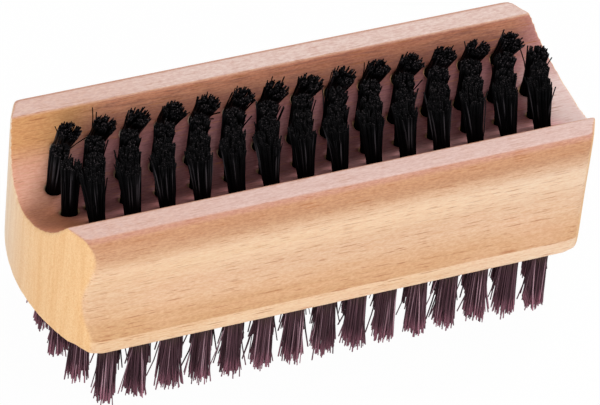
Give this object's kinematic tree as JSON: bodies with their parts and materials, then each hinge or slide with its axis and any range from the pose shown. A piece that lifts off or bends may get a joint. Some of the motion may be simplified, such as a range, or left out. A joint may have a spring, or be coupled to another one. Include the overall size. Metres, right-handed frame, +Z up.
{
  "type": "nail brush",
  "caption": "Two-sided wooden nail brush: short stiff tufts stand in a rounded channel on top, longer tufts stand under the block, and finger coves run along both sides.",
  "frame": {"origin": "under the middle of the block, on the plane where the long tufts' trimmed tips end", "axes": "+X along the block's length, +Y from the front cove to the back cove, +Z up, towards the channel with the short tufts"},
  "size_m": [0.095, 0.0384, 0.0403],
  "materials": {
    "beech": "smooth unvarnished beech with short dark flecks",
    "short_bristle": "stiff black bristle, slight sheen",
    "long_bristle": "dark brown bristle with a purplish cast at the tips",
    "anchor_wire": "flat galvanised wire"
  },
  "bodies": {
    "root": {"block": "beech", "upper_tufts_front_outer": "short_bristle", "upper_tufts_front_inner": "short_bristle", "upper_tufts_back_inner": "short_bristle", "upper_tufts_back_outer": "short_bristle", "lower_tufts_row_1": "long_bristle", "lower_tufts_row_2": "long_bristle", "lower_tufts_row_3": "long_bristle", "lower_tufts_row_4": "long_bristle", "lower_tufts_row_5": "long_bristle", "lower_tufts_row_6": "long_bristle", "upper_anchors_front_outer": "anchor_wire", "upper_anchors_front_inner": "anchor_wire", "upper_anchors_back_inner": "anchor_wire", "upper_anchors_back_outer": "anchor_wire", "lower_anchors_row_1": "anchor_wire", "lower_anchors_row_2": "anchor_wire", "lower_anchors_row_3": "anchor_wire", "lower_anchors_row_4": "anchor_wire", "lower_anchors_row_5": "anchor_wire", "lower_anchors_row_6": "anchor_wire"}
  },
  "joints": []
}
